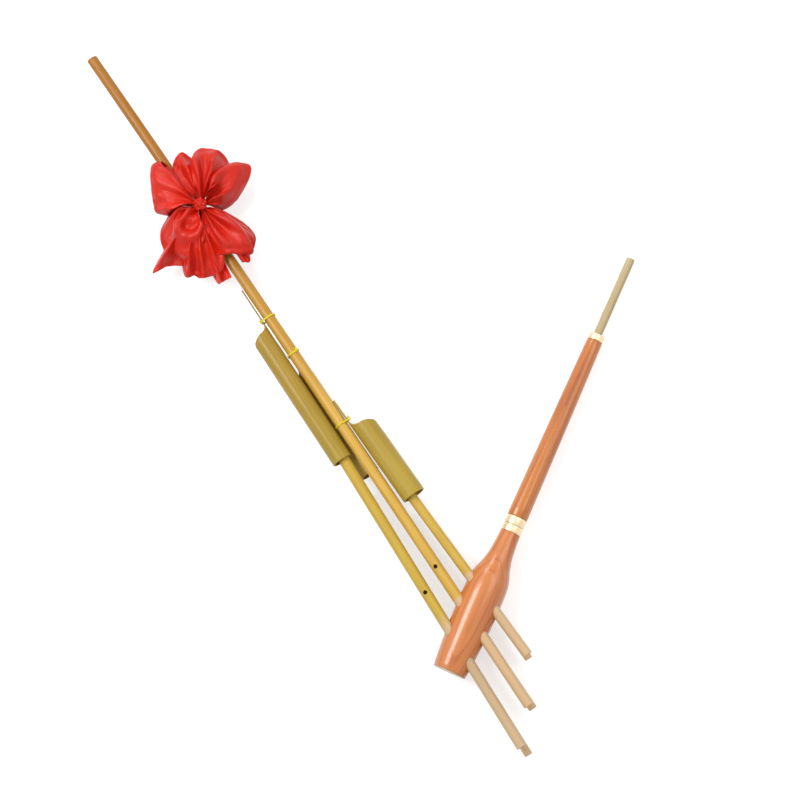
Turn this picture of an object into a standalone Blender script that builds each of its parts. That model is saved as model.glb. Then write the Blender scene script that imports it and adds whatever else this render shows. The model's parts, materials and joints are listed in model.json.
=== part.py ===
# Six-pipe lusheng, a free-reed mouth organ, lying down with its front row of pipes up.
# It is modelled in its own flat frame: pipes along +Y, front up, the origin where the long pipe
# crosses the chamber's axis. An empty named stand then tips it onto the three spots it rests on.

import math

import bmesh
import bpy
import numpy as np
from mathutils import Matrix, Vector

for old in list(bpy.data.objects):
    bpy.data.objects.remove(old, do_unlink=True)

# Clearances
SEAT_GAP = 0.0003            # between glued, seated or tied pieces
SLIDE_GAP = 0.0002           # round a piece that slides or swings

# Chamber and neck: stations along the wind axis as (distance, outer radius)
WIND_ANGLE = math.radians(32.1)
CHAMBER_PROFILE = [
    (-0.0697, 0.0212), (-0.0500, 0.0229), (-0.0250, 0.0245), (0.0000, 0.0256), (0.0250, 0.0258),
    (0.0400, 0.0255), (0.0500, 0.0248), (0.0600, 0.0228), (0.0700, 0.0191), (0.0800, 0.0164),
    (0.0900, 0.0147), (0.1000, 0.0137), (0.1156, 0.0127),
]
CHAMBER_WALL = 0.0040
CAVITY_END = 0.0560
AIR_BORE = 0.0045
CHAMBER_SIDES = 32

# Tail plug
PLUG_FLANGE = 0.0012
PLUG_SPIGOT = 0.0060
PLUG_EDGE = 0.0003

# Neck joint
NECK_END = 0.1252
FERRULE_WALL = 0.0012
NECK_SEAT_RADIUS = 0.0111
TENON_RADIUS = 0.0082
TENON_LENGTH = 0.0450

# Blow pipe
BLOW_FERRULE_LENGTH = 0.0108
BLOW_RADIUS_LOW = 0.01305
BLOW_RADIUS_MIDDLE = 0.01181
BLOW_RADIUS_TIP = 0.0100
BLOW_MIDDLE_SHARE = 0.48     # how far up the blow pipe its middle radius is
BLOW_LENGTH = 0.2530
TIP_FERRULE_LENGTH = 0.0083
TIP_FERRULE_RADIUS = 0.0097
RING_EDGE = 0.0004
TURNED_SIDES = 24

# Mouthpiece tube
MOUTH_RADIUS = 0.00537
MOUTH_BORE = 0.0034
MOUTH_SOCKET = 0.0300
MOUTH_LENGTH = 0.1365

# Rows of pipes
ROW_OFFSET = 0.0100
PIPE_SIDES = 16
PIPE_STEP = 0.1200           # between rings on a curved pipe
SEPTUM = 0.0030
SEPTUM_BELOW = 0.0340        # from the wind axis down to the natural septum under the reed
FOOT_BELOW = 0.0100          # from the wind axis down to where the scraped foot begins

# Each pipe: x where it crosses y = 0, lean to the right for each metre up, row side, radii, foot
# end, top end, bore, finger hole height and the hole's turn from the front towards the right.
PIPES = {
    "tail_pipe_front": dict(x=-0.0315, lean=0.0385, row=1, low=0.0069, high=0.0073, foot=0.00655,
                            end=-0.1620, top=0.2850, bore=0.0047, hole=0.0577, turn=-7.5),
    "long_pipe_front": dict(x=-0.00126, lean=0.00775, row=1, low=0.00715, high=0.00715, foot=0.0066,
                            end=-0.1260, top=0.8780, bore=0.0050, hole=0.0769, turn=-12.0),
    "neck_pipe_front": dict(x=0.0281, lean=-0.0363, row=1, low=0.00635, high=0.00635, foot=0.00615,
                            end=-0.0747, top=0.1950, bore=0.0042, hole=0.0980, turn=115.0),
    "tail_pipe_rear": dict(x=-0.0308, lean=0.0298, row=-1, low=0.00575, high=0.00575, foot=0.00525,
                           end=-0.1740, top=0.2080, bore=0.0037, hole=0.0620, turn=180.0),
    "middle_pipe_rear": dict(x=-0.0003, lean=0.0, row=-1, low=0.00575, high=0.00575, foot=0.0055,
                             end=-0.1310, top=0.2700, bore=0.0037, hole=0.0800, turn=180.0),
    "neck_pipe_rear": dict(x=0.0274, lean=-0.0310, row=-1, low=0.00525, high=0.00525, foot=0.0050,
                           end=-0.0780, top=0.1500, bore=0.0034, hole=0.1000, turn=180.0),
}
LONG_PIPE_BEND = 0.0103      # natural bend of the long pipe: sideways metres for each metre squared
FINGER_HOLE_RADIUS = 0.0027

# Reeds
PLATE_LENGTH = 0.0250
PLATE_WIDTH = 0.0060
PLATE_THICKNESS = 0.0006
TONGUE_LENGTH = 0.0180
TONGUE_WIDTH = 0.0025
TONGUE_THICKNESS = 0.00025
WINDOW_MARGIN = 0.0006       # by which a pipe's window is wider than the reed's slot, each side
REED_FLAT_SKIN = 0.0010      # bamboo left between the bore and the reed's flat

# Resonators: rim centre, lean, radius, wall, the height of the cut on its far and near side, the
# tongue's tip, all measured along y, and the sides that a resonator has round it.
RESONATOR_WALL = 0.0020
RESONATOR_SIDES = 24
RESONATOR_SEPTUM_BELOW = 0.0150
TONGUE_HALF_WIDTH = 0.0045
TONGUE_SHOULDER = 0.0060     # how far above the cut the tongue has come in to its own width
TAIL_RESONATOR = dict(x=-0.0240, lean=0.0109, radius=0.0130, rim=0.2520, far=0.4355, near=0.4460, tip=0.5070)
NECK_RESONATOR = dict(x=0.0253, lean=-0.0160, radius=0.0150, rim=0.1655, far=0.2710, near=0.2810, tip=0.3225)
REAR_RESONATOR = dict(x=-0.0050, lean=0.0, radius=0.0130, rim=0.2220, far=0.3650, near=0.3750, tip=0.4230)

# Ties
STRING_RADIUS = 0.00055
STRING_PITCH = 0.0016
STRING_TURNS = 2
STRING_POINTS = 24           # for each turn
TIE_HEIGHTS = {"tie_upper": 0.4565, "tie_middle": 0.4013, "tie_lower": 0.2912}

# Bow
KNOT = (0.005, 0.632)
BAND_WIDTH = 0.0120
BAND_THICKNESS = 0.0018
CLOTH_THICKNESS = 0.0022
UPPER_OUTLINE = [
    (0.0435, 0.6120), (0.0730, 0.6210), (0.0940, 0.6420), (0.0850, 0.6500), (0.0690, 0.6520),
    (0.0720, 0.6840), (0.0490, 0.7020), (0.0340, 0.6930), (0.0290, 0.7130), (0.0190, 0.7100),
    (0.0070, 0.6970), (-0.0055, 0.7190), (-0.0210, 0.7010), (-0.0340, 0.6850), (-0.0430, 0.6580),
]
LOWER_OUTLINE = [
    (-0.0420, 0.6420), (-0.0560, 0.6280), (-0.0600, 0.6110), (-0.0915, 0.5940), (-0.0730, 0.5830),
    (-0.0570, 0.5800), (-0.0550, 0.5700), (-0.0570, 0.5590), (-0.0420, 0.5500), (-0.0270, 0.5270),
    (-0.0085, 0.5240), (0.0120, 0.5280), (0.0205, 0.5370), (0.0340, 0.5350), (0.0475, 0.5560),
    (0.0430, 0.5690), (0.0390, 0.5860), (0.0340, 0.6050),
]
GATHER_RADIUS = 0.0080       # of the gathered cloth at the knot
BOW_RISE = 0.0130            # how high the loops stand over the knot
PLEAT_DEPTH = 0.0045
PLEATS_UPPER = 6
PLEATS_LOWER = 7
BOW_RINGS = 4
BOW_STEPS = 42

# Colours
LACQUER = (0.60, 0.17, 0.045)
BAMBOO = (0.62, 0.36, 0.07)
OLIVE_BAMBOO = (0.48, 0.35, 0.05)
BRASS = (0.72, 0.52, 0.22)
SATIN_METAL = (0.66, 0.50, 0.30)
BONE = (0.55, 0.43, 0.22)
YELLOW = (0.80, 0.68, 0.02)
RED = (0.66, 0.012, 0.008)


def material(name, color, roughness, metallic=0.0):
    made = bpy.data.materials.new(name)
    made.use_nodes = True
    shader = made.node_tree.nodes["Principled BSDF"]
    shader.inputs["Base Color"].default_value = (*color, 1.0)
    shader.inputs["Roughness"].default_value = roughness
    shader.inputs["Metallic"].default_value = metallic
    return made


def add_object(name, data, parent, paint=None):
    made = bpy.data.objects.new(name, data)
    bpy.context.scene.collection.objects.link(made)
    made.parent = parent
    if paint:
        data.materials.append(material(name, *paint))
    return made


def mesh_object(name, bm, parent, paint=None, smooth=True):
    bmesh.ops.recalc_face_normals(bm, faces=bm.faces)
    data = bpy.data.meshes.new(name)
    bm.to_mesh(data)
    bm.free()
    if smooth:
        data.shade_smooth()
        data.set_sharp_from_angle(angle=math.radians(35))
    return add_object(name, data, parent, paint)


def frame_empty(name, parent, place, along, side):
    # an empty whose Z runs along a direction and whose X is as near as can be to the side given
    z = Vector(along).normalized()
    y = z.cross(Vector(side)).normalized()
    x = y.cross(z)
    turn = Matrix((x, y, z)).transposed().to_4x4()
    empty = bpy.data.objects.new(name, None)
    bpy.context.scene.collection.objects.link(empty)
    empty.parent = parent
    empty.matrix_local = Matrix.Translation(place) @ turn
    return empty


def turned(profile, sides, angle=2 * math.pi, start=0.0):
    # a closed outline of (radius, height) points spun about Z
    bm = bmesh.new()
    spot = [bm.verts.new((r * math.cos(start), r * math.sin(start), z)) for r, z in profile]
    whole = abs(angle - 2 * math.pi) < 1e-6
    if whole:
        edges = [bm.edges.new((a, b)) for a, b in zip(spot, spot[1:] + spot[:1])
                 if a.co.xy.length > 0 or b.co.xy.length > 0]
        geometry = spot + edges
    else:
        geometry = [bm.faces.new(spot)]
        geometry += spot + list(bm.edges)
    bmesh.ops.spin(bm, geom=geometry, cent=(0, 0, 0), axis=(0, 0, 1), angle=angle, steps=sides,
                   use_merge=whole, use_duplicate=False)
    bmesh.ops.remove_doubles(bm, verts=bm.verts, dist=1e-6)
    return bm


def block(low, high):
    bm = bmesh.new()
    bmesh.ops.create_cube(bm, size=1.0)
    size = Vector(high) - Vector(low)
    middle = (Vector(high) + Vector(low)) / 2
    bmesh.ops.transform(bm, matrix=Matrix.Translation(middle) @ Matrix.Diagonal((*size, 1)), verts=bm.verts)
    return bm


def prism(outline, low, high, across):
    # a flat outline of (a, z) points pushed from low to high along X or Y
    bm = bmesh.new()
    if across == "Y":
        spot = [bm.verts.new((a, low, z)) for a, z in outline]
        push = (0, high - low, 0)
    else:
        spot = [bm.verts.new((low, a, z)) for a, z in outline]
        push = (high - low, 0, 0)
    face = bm.faces.new(spot)
    grown = bmesh.ops.extrude_face_region(bm, geom=[face])
    moved = [v for v in grown["geom"] if isinstance(v, bmesh.types.BMVert)]
    bmesh.ops.translate(bm, vec=push, verts=moved)
    return bm


def cut(target, name, bm, parent):
    cutter = mesh_object(name, bm, parent, smooth=False)
    cutter.hide_render = True
    cutter.display_type = "WIRE"
    carve = target.modifiers.new(name, "BOOLEAN")
    carve.operation = "DIFFERENCE"
    carve.solver = "EXACT"
    carve.object = cutter


def outer_radius(station):
    stations = [s for s, r in CHAMBER_PROFILE]
    radii = [r for s, r in CHAMBER_PROFILE]
    return float(np.interp(station, stations, radii))


stand = bpy.data.objects.new("stand", None)
bpy.context.scene.collection.objects.link(stand)

wind_direction = Vector((math.cos(WIND_ANGLE), math.sin(WIND_ANGLE), 0))
wind_axis = frame_empty("wind_axis", stand, (0, 0, 0), wind_direction, (0, 0, 1))

tail_end = CHAMBER_PROFILE[0][0]
neck_shoulder = CHAMBER_PROFILE[-1][0]
tail_bore = outer_radius(tail_end) - CHAMBER_WALL
socket_radius = TENON_RADIUS + SLIDE_GAP
socket_bottom = NECK_END + SEAT_GAP - TENON_LENGTH - SEAT_GAP


def chamber_outline():
    # outside from tail to neck, then back along the tenon's socket, the air way and the cavity
    outline = [(r, s) for s, r in CHAMBER_PROFILE]
    outline += [(NECK_SEAT_RADIUS, neck_shoulder), (NECK_SEAT_RADIUS, NECK_END)]
    outline += [(socket_radius, NECK_END), (socket_radius, socket_bottom), (AIR_BORE, socket_bottom)]
    outline += [(AIR_BORE, CAVITY_END)]
    inside = [s for s, r in CHAMBER_PROFILE if tail_end + PLUG_SPIGOT < s < CAVITY_END]
    shoulder = outer_radius(CAVITY_END - CHAMBER_WALL) - 2 * CHAMBER_WALL
    outline += [(shoulder, CAVITY_END)]
    outline += [(outer_radius(s) - CHAMBER_WALL, s) for s in reversed(inside)]
    outline += [(tail_bore, tail_end + PLUG_SPIGOT), (tail_bore, tail_end)]
    return outline


def build_chamber():
    paint = (LACQUER, 0.25)
    halves = {}
    for name, side in (("chamber_front_shell", 1), ("chamber_rear_shell", -1)):
        start = -math.pi / 2 if side > 0 else math.pi / 2
        bm = turned(chamber_outline(), CHAMBER_SIDES // 2, math.pi, start)
        bmesh.ops.translate(bm, vec=(side * SEAT_GAP / 2, 0, 0), verts=bm.verts)
        halves[side] = mesh_object(name, bm, wind_axis, paint)
    flange = tail_end - SEAT_GAP
    spigot = tail_bore - SEAT_GAP
    rim = outer_radius(tail_end) - PLUG_EDGE
    outline = [
        (0, flange - PLUG_FLANGE), (rim - PLUG_EDGE, flange - PLUG_FLANGE), (rim, flange - PLUG_FLANGE + PLUG_EDGE),
        (rim, flange), (spigot, flange), (spigot, flange + PLUG_SPIGOT), (0, flange + PLUG_SPIGOT),
    ]
    mesh_object("tail_plug", turned(outline, CHAMBER_SIDES), wind_axis, ((0.5, 0.42, 0.34), 0.4))
    return halves


def ring(name, inner, outer, low, high, parent):
    outline = [
        (inner, low), (outer - RING_EDGE, low), (outer, low + RING_EDGE),
        (outer, high - RING_EDGE), (outer - RING_EDGE, high), (inner, high),
    ]
    mesh_object(name, turned(outline, TURNED_SIDES), parent, (SATIN_METAL, 0.35, 1.0))


def build_blow_pipe():
    ring("neck_ferrule", NECK_SEAT_RADIUS + SEAT_GAP, NECK_SEAT_RADIUS + SEAT_GAP + FERRULE_WALL,
         neck_shoulder + SEAT_GAP, NECK_END, wind_axis)
    # the blow pipe's origin is on its slide axis, at the shoulder that meets the neck
    joint = frame_empty("blow_pipe_joint", stand, wind_direction * (NECK_END + SEAT_GAP), wind_direction, (0, 0, 1))
    body_start = BLOW_FERRULE_LENGTH
    body_end = body_start + BLOW_LENGTH - BLOW_FERRULE_LENGTH
    tip_seat = TIP_FERRULE_RADIUS - FERRULE_WALL - SEAT_GAP
    tip_end = body_end + TIP_FERRULE_LENGTH
    socket = MOUTH_RADIUS + SLIDE_GAP
    middle = body_start + BLOW_MIDDLE_SHARE * (body_end - body_start)
    outline = [
        (AIR_BORE, -TENON_LENGTH), (TENON_RADIUS, -TENON_LENGTH), (TENON_RADIUS, 0), (NECK_SEAT_RADIUS, 0),
        (NECK_SEAT_RADIUS, body_start), (BLOW_RADIUS_LOW - RING_EDGE, body_start),
        (BLOW_RADIUS_LOW, body_start + RING_EDGE), (BLOW_RADIUS_MIDDLE, middle),
        (BLOW_RADIUS_TIP, body_end - RING_EDGE), (BLOW_RADIUS_TIP - RING_EDGE, body_end), (tip_seat, body_end),
        (tip_seat, tip_end), (socket, tip_end), (socket, tip_end - MOUTH_SOCKET),
        (AIR_BORE, tip_end - MOUTH_SOCKET),
    ]
    mesh_object("blow_pipe", turned(outline, TURNED_SIDES), joint, (LACQUER, 0.25))
    ring("blow_pipe_ferrule", NECK_SEAT_RADIUS + SEAT_GAP, NECK_SEAT_RADIUS + SEAT_GAP + FERRULE_WALL,
         0, body_start - SEAT_GAP, joint)
    ring("tip_ferrule", tip_seat + SEAT_GAP, TIP_FERRULE_RADIUS, body_end + SEAT_GAP, tip_end + SEAT_GAP, joint)

    seat = NECK_END + SEAT_GAP + tip_end - MOUTH_SOCKET + SEAT_GAP
    mouth = frame_empty("mouthpiece_joint", stand, wind_direction * seat, wind_direction, (0, 0, 1))
    lip = (MOUTH_RADIUS - MOUTH_BORE) / 2
    outline = [(MOUTH_BORE, 0), (MOUTH_RADIUS, 0), (MOUTH_RADIUS, MOUTH_LENGTH - lip)]
    for step in range(1, 5):
        bend = step * math.pi / 5
        outline.append((MOUTH_RADIUS - lip + lip * math.cos(bend), MOUTH_LENGTH - lip + lip * math.sin(bend)))
    outline.append((MOUTH_BORE, MOUTH_LENGTH - lip))
    mesh_object("mouthpiece_tube", turned(outline, TURNED_SIDES - 4), mouth, (BONE, 0.45))
    return seat + MOUTH_LENGTH


def crossing(x, lean):
    # where a pipe's axis crosses the wind axis, seen from the front
    slope = math.tan(WIND_ANGLE)
    across = x / (1 - lean * slope)
    return across, across * slope


def axis_x(spec, height, bend=0.0):
    # x of a pipe's axis at a height along y
    across, up = crossing(spec["x"], spec["lean"])
    return across + spec["lean"] * (height - up) - bend * (height - up) ** 2


def bend_mesh(bm, bend):
    for vert in bm.verts:
        vert.co.x -= bend * vert.co.z ** 2


def pipe_outline(spec, low, high):
    # outside from the foot to the top, down the bore to the septum, then the foot's own hollow
    foot_top = -FOOT_BELOW
    heights = [foot_top]
    steps = max(1, round((high - foot_top) / PIPE_STEP))
    heights += [foot_top + (high - foot_top) * k / steps for k in range(1, steps + 1)]
    outline = [(spec["foot"], low), (spec["foot"], foot_top)]
    for z in heights:
        share = (z - foot_top) / (high - foot_top)
        outline.append((spec["low"] + share * (spec["high"] - spec["low"]), z))
    outline += [(spec["bore"], z) for z in reversed(heights)]
    outline += [(spec["bore"], -SEPTUM_BELOW), (0, -SEPTUM_BELOW), (0, -SEPTUM_BELOW - SEPTUM)]
    outline += [(spec["bore"], -SEPTUM_BELOW - SEPTUM), (spec["bore"], low)]
    return outline


def build_pipe(name, spec, shell):
    across, up = crossing(spec["x"], spec["lean"])
    bend = LONG_PIPE_BEND if name.startswith("long") else 0.0
    along = Vector((spec["lean"], 1, 0)).normalized()
    rise = math.hypot(1, spec["lean"])
    axis = frame_empty(name + "_axis", stand, (across, up, spec["row"] * ROW_OFFSET), along, (1, 0, 0))
    low = (spec["end"] - up) * rise
    high = (spec["top"] - up) * rise
    bm = turned(pipe_outline(spec, low, high), PIPE_SIDES)
    bend_mesh(bm, bend)
    pipe = mesh_object(name, bm, axis, (BAMBOO, 0.35))

    # the hole in the chamber's wall, wider above than at the foot
    reach = 2.5 * max(r for s, r in CHAMBER_PROFILE)
    step = -FOOT_BELOW
    hole = [
        (0, -reach), (spec["foot"] + SEAT_GAP, -reach), (spec["foot"] + SEAT_GAP, step - SEAT_GAP),
        (spec["low"] + SEAT_GAP, step - SEAT_GAP), (spec["low"] + SEAT_GAP, reach), (0, reach),
    ]
    bm = turned(hole, PIPE_SIDES)
    bend_mesh(bm, bend)
    cut(shell, name + "_socket", bm, axis)

    # flat and window for the reed, on the side that faces the blow pipe
    flat = spec["bore"] + REED_FLAT_SKIN
    half = PLATE_LENGTH / 2 + SEAT_GAP
    centre = flat * math.tan(WIND_ANGLE)
    cut(pipe, name + "_reed_flat", block((flat, -spec["low"], centre - half), (2 * spec["low"], spec["low"], centre + half)), axis)
    slot_length = TONGUE_LENGTH + 2 * SLIDE_GAP
    slot_width = TONGUE_WIDTH + 2 * SLIDE_GAP
    window = (slot_length / 2 + WINDOW_MARGIN, slot_width / 2 + WINDOW_MARGIN)
    cut(pipe, name + "_reed_window", block((0, -window[1], centre - window[0]), (2 * spec["low"], window[1], centre + window[0])), axis)

    # finger hole: a round cutter from the axis outwards
    reach = 2 * spec["low"]
    bm = bmesh.new()
    bmesh.ops.create_cone(bm, cap_ends=True, segments=16, radius1=FINGER_HOLE_RADIUS, radius2=FINGER_HOLE_RADIUS, depth=reach)
    turn = math.radians(spec["turn"])
    height = (spec["hole"] - up) * rise
    outwards = Matrix.Rotation(turn, 4, "Z") @ Matrix.Rotation(math.pi / 2, 4, "X")
    place = Matrix.Translation((-bend * height ** 2, 0, height)) @ outwards @ Matrix.Translation((0, 0, reach / 2))
    bmesh.ops.transform(bm, matrix=place, verts=bm.verts)
    cut(pipe, name + "_finger_hole", bm, axis)

    build_reed(name, axis, flat + SEAT_GAP, centre, slot_length, slot_width)


def build_reed(name, axis, inner, centre, slot_length, slot_width):
    outer = inner + PLATE_THICKNESS
    bm = block((inner, -PLATE_WIDTH / 2, centre - PLATE_LENGTH / 2), (outer, PLATE_WIDTH / 2, centre + PLATE_LENGTH / 2))
    plate = mesh_object(name + "_reed_plate", bm, axis, (BRASS, 0.3, 1.0), smooth=False)
    slot = block((inner - PLATE_THICKNESS, -slot_width / 2, centre - slot_length / 2),
                 (outer + PLATE_THICKNESS, slot_width / 2, centre + slot_length / 2))
    cut(plate, name + "_reed_slot", slot, axis)
    # the tongue's origin is on its hinge line, across its lower end
    middle = (inner + outer) / 2
    root = bpy.data.objects.new(name + "_reed_root", None)
    bpy.context.scene.collection.objects.link(root)
    root.parent = axis
    root.location = (middle, 0, centre - TONGUE_LENGTH / 2)
    bm = block((-TONGUE_THICKNESS / 2, -TONGUE_WIDTH / 2, 0), (TONGUE_THICKNESS / 2, TONGUE_WIDTH / 2, TONGUE_LENGTH))
    mesh_object(name + "_reed_tongue", bm, root, (BRASS, 0.25, 1.0), smooth=False)


def build_resonator(name, spec, depth, tongue_side):
    # the frame's X points from the tube's axis to its tongue
    along = Vector((spec["lean"], 1, 0)).normalized()
    axis = frame_empty(name + "_axis", stand, (spec["x"], spec["rim"], depth), along, tongue_side)
    outer = spec["radius"]
    inner = outer - RESONATOR_WALL
    far = spec["far"] - spec["rim"]
    near = spec["near"] - spec["rim"]
    tip = spec["tip"] - spec["rim"]
    septum = far - RESONATOR_SEPTUM_BELOW
    edge = RESONATOR_WALL / 5
    outline = [
        (0, septum - SEPTUM), (inner, septum - SEPTUM), (inner, edge), (inner + edge, 0), (outer - edge, 0),
        (outer, edge), (outer, tip), (inner, tip), (inner, septum), (0, septum),
    ]
    tube = mesh_object(name, turned(outline, RESONATOR_SIDES), axis, (OLIVE_BAMBOO, 0.4))
    # the slanting cut, which rises to the tongue in a hollow curve
    clear = outer + 2 * RESONATOR_WALL
    above = tip + clear
    waste = [(-clear, far - 0.002), (-outer, far - 0.001), (-inner, far + 0.002)]
    shoulder = inner - 2 * RESONATOR_WALL
    sweep = inner - shoulder
    waste.append((shoulder, near - 0.001))
    for step in range(1, 5):
        bend = step * math.pi / 8
        waste.append((shoulder + sweep * math.sin(bend), near + 2 * sweep * (1 - math.cos(bend))))
    waste += [(inner, above), (-clear, above)]
    cut(tube, name + "_cut", prism(waste, -clear, clear, "Y"), axis)
    # what is left beside the tongue, which ends round
    half = TONGUE_HALF_WIDTH
    low = near - TONGUE_SHOULDER / 2
    high = near + TONGUE_SHOULDER
    waste = [(-clear, low), (-inner, low), (-half, high)]
    for step in range(0, 9):
        bend = math.pi - step * math.pi / 8
        waste.append((half * math.cos(bend), tip - half + (half - SEAT_GAP) * math.sin(bend)))
    waste += [(half, high), (inner, low), (clear, low), (clear, above), (-clear, above)]
    cut(tube, name + "_tongue_sides", prism(waste, 0, clear, "X"), axis)
    return axis


def hull(points):
    # convex outline, anticlockwise
    points = sorted(points)
    chains = []
    for run in (points, points[::-1]):
        chain = []
        for p in run:
            while len(chain) > 1:
                (ax, ay), (bx, by) = chain[-2], chain[-1]
                if (bx - ax) * (p[1] - ay) - (by - ay) * (p[0] - ax) > 0:
                    break
                chain.pop()
            chain.append(p)
        chains += chain[:-1]
    return chains


def build_tie(name, height, rods, start):
    # string wound round rods of (x, z, radius), from a start direction
    offset = STRING_RADIUS + SEAT_GAP
    fine = 48
    cloud = []
    for x, z, radius in rods:
        for k in range(fine):
            turn = 2 * math.pi * k / fine
            cloud.append((x + (radius + offset) * math.cos(turn), z + (radius + offset) * math.sin(turn)))
    loop = hull(cloud)
    middle = (sum(p[0] for p in loop) / len(loop), sum(p[1] for p in loop) / len(loop))
    first = min(range(len(loop)), key=lambda k: abs(math.remainder(
        math.atan2(loop[k][1] - middle[1], loop[k][0] - middle[0]) - start, 2 * math.pi)))
    loop = loop[first:] + loop[:first + 1]
    walked = [0.0]
    for a, b in zip(loop, loop[1:]):
        walked.append(walked[-1] + math.dist(a, b))
    points = []
    for k in range(STRING_TURNS * STRING_POINTS + 1):
        share = k / STRING_POINTS
        reach = (share % 1.0) * walked[-1]
        x = float(np.interp(reach, walked, [p[0] for p in loop]))
        z = float(np.interp(reach, walked, [p[1] for p in loop]))
        points.append(Vector((x, height + STRING_PITCH * (share - STRING_TURNS / 2), z)))
    lead = (points[0] - points[1]).normalized() * 2 * STRING_RADIUS
    trail = (points[-1] - points[-2]).normalized() * 2 * STRING_RADIUS
    points = [points[0] + lead] + points + [points[-1] + trail]
    curve = bpy.data.curves.new(name, "CURVE")
    curve.dimensions = "3D"
    curve.bevel_depth = STRING_RADIUS
    curve.bevel_resolution = 1
    curve.use_fill_caps = True
    spline = curve.splines.new("POLY")
    spline.points.add(len(points) - 1)
    for point, spot in zip(spline.points, points):
        point.co = (*spot, 1.0)
    add_object(name, curve, stand, (YELLOW, 0.6))
    far_apart = STRING_POINTS // 2
    gap = min((a - b).length for i, a in enumerate(points) for b in points[i + far_apart:])
    print(f"{name} least gap to itself {1000 * (gap - 2 * STRING_RADIUS):.2f} mm")


def reach_at(outline, angle):
    # distance from the knot to the outline in one direction
    ray = Vector((math.cos(angle), math.sin(angle)))
    best = 0.0
    for a, b in zip(outline, outline[1:]):
        start = Vector(a) - Vector(KNOT)
        edge = Vector(b) - Vector(a)
        bottom = ray.x * edge.y - ray.y * edge.x
        if abs(bottom) < 1e-9:
            continue
        along = (start.x * edge.y - start.y * edge.x) / bottom
        share = (start.x * ray.y - start.y * ray.x) / bottom
        if -1e-6 <= share <= 1 + 1e-6 and along > best:
            best = along
    return best


def build_petals(name, outline, pleats, clearance):
    # loops of cloth that spread from the knot, pleated towards it, as one thick pleated sheet
    angles = [math.atan2(y - KNOT[1], x - KNOT[0]) for x, y in (outline[0], outline[-1])]
    first, last = angles
    if last < first:
        last += 2 * math.pi
    bm = bmesh.new()
    rows = []
    for step in range(BOW_STEPS + 1):
        share = step / BOW_STEPS
        angle = first + share * (last - first)
        angle = min(max(angle, first + 1e-4), last - 1e-4)
        reach = reach_at(outline, angle)
        row = []
        for ringed in range(BOW_RINGS + 1):
            out = ringed / BOW_RINGS
            radius = GATHER_RADIUS + (reach - GATHER_RADIUS) * out
            dome = BOW_RISE * math.sin(0.8 * math.pi * out)
            pleat = PLEAT_DEPTH * out ** 0.7 * math.cos(2 * math.pi * pleats * share)
            height = clearance + PLEAT_DEPTH * out + dome + pleat
            x = KNOT[0] + radius * math.cos(angle)
            y = KNOT[1] + radius * math.sin(angle)
            row.append(bm.verts.new((x, y, height)))
        rows.append(row)
    for left, right in zip(rows, rows[1:]):
        for k in range(BOW_RINGS):
            bm.faces.new((left[k], left[k + 1], right[k + 1], right[k]))
    sheet = mesh_object(name, bm, stand, (RED, 0.4))
    sheet.data.shade_smooth()
    for face in sheet.data.polygons:
        if face.normal.z < 0:
            sheet.data.flip_normals()
        break
    thick = sheet.modifiers.new("cloth", "SOLIDIFY")
    thick.thickness = CLOTH_THICKNESS
    thick.offset = 1.0


def build_bow():
    spec = PIPES["long_pipe_front"]
    inner = spec["high"] + SEAT_GAP
    outer = inner + BAND_THICKNESS
    along = Vector((0, 1, 0))
    x = axis_x(spec, KNOT[1], LONG_PIPE_BEND)
    axis = frame_empty("ribbon_axis", stand, (x, KNOT[1], ROW_OFFSET), along, (1, 0, 0))
    half = BAND_WIDTH / 2
    outline = [
        (inner, -half), (outer - 0.0006, -half), (outer, -half * 0.5), (outer, half * 0.5),
        (outer - 0.0006, half), (inner, half),
    ]
    mesh_object("ribbon_band", turned(outline, PIPE_SIDES), axis, (RED, 0.4))
    clearance = ROW_OFFSET + outer + SEAT_GAP
    build_petals("ribbon_upper", UPPER_OUTLINE, PLEATS_UPPER, clearance)
    build_petals("ribbon_lower", LOWER_OUTLINE, PLEATS_LOWER, clearance)


def tongue_rods(spec, depth, side, height):
    # the two edges of a resonator's tongue, as thin rods for the string to go round
    lean = spec["x"] + spec["lean"] * (height - spec["rim"])
    toward = Vector((side[0], side[2])).normalized()
    across = Vector((-toward.y, toward.x))
    inner = spec["radius"] - RESONATOR_WALL
    rods = []
    for sign in (-1, 1):
        spot = Vector((lean, depth)) + toward * inner + across * sign * TONGUE_HALF_WIDTH
        rods.append((spot.x, spot.y, 0.0))
    return rods


def build_resonators_and_ties():
    long_spec = PIPES["long_pipe_front"]
    # the rear resonator hangs under the long pipe, with room between them for the lower tie
    apart = long_spec["high"] + REAR_RESONATOR["radius"] + 2 * STRING_RADIUS + 2 * SEAT_GAP
    sideways = axis_x(long_spec, REAR_RESONATOR["near"], LONG_PIPE_BEND) - REAR_RESONATOR["x"]
    drop = math.sqrt(apart ** 2 - sideways ** 2)
    placed = {
        "tail_resonator": (TAIL_RESONATOR, ROW_OFFSET, Vector((1, 0, 0)), "tie_upper", math.pi),
        "neck_resonator": (NECK_RESONATOR, ROW_OFFSET, Vector((-1, 0, 0)), "tie_lower", 0.0),
        "rear_resonator": (REAR_RESONATOR, ROW_OFFSET - drop, Vector((sideways, 0, drop)), "tie_middle", math.pi / 4),
    }
    for name, (spec, depth, side, tie, start) in placed.items():
        build_resonator(name, spec, depth, side)
        height = TIE_HEIGHTS[tie]
        rods = [(axis_x(long_spec, height, LONG_PIPE_BEND), ROW_OFFSET, long_spec["high"])]
        rods += tongue_rods(spec, depth, side, height)
        build_tie(tie, height, rods, start)
    return placed["rear_resonator"][1]


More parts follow.
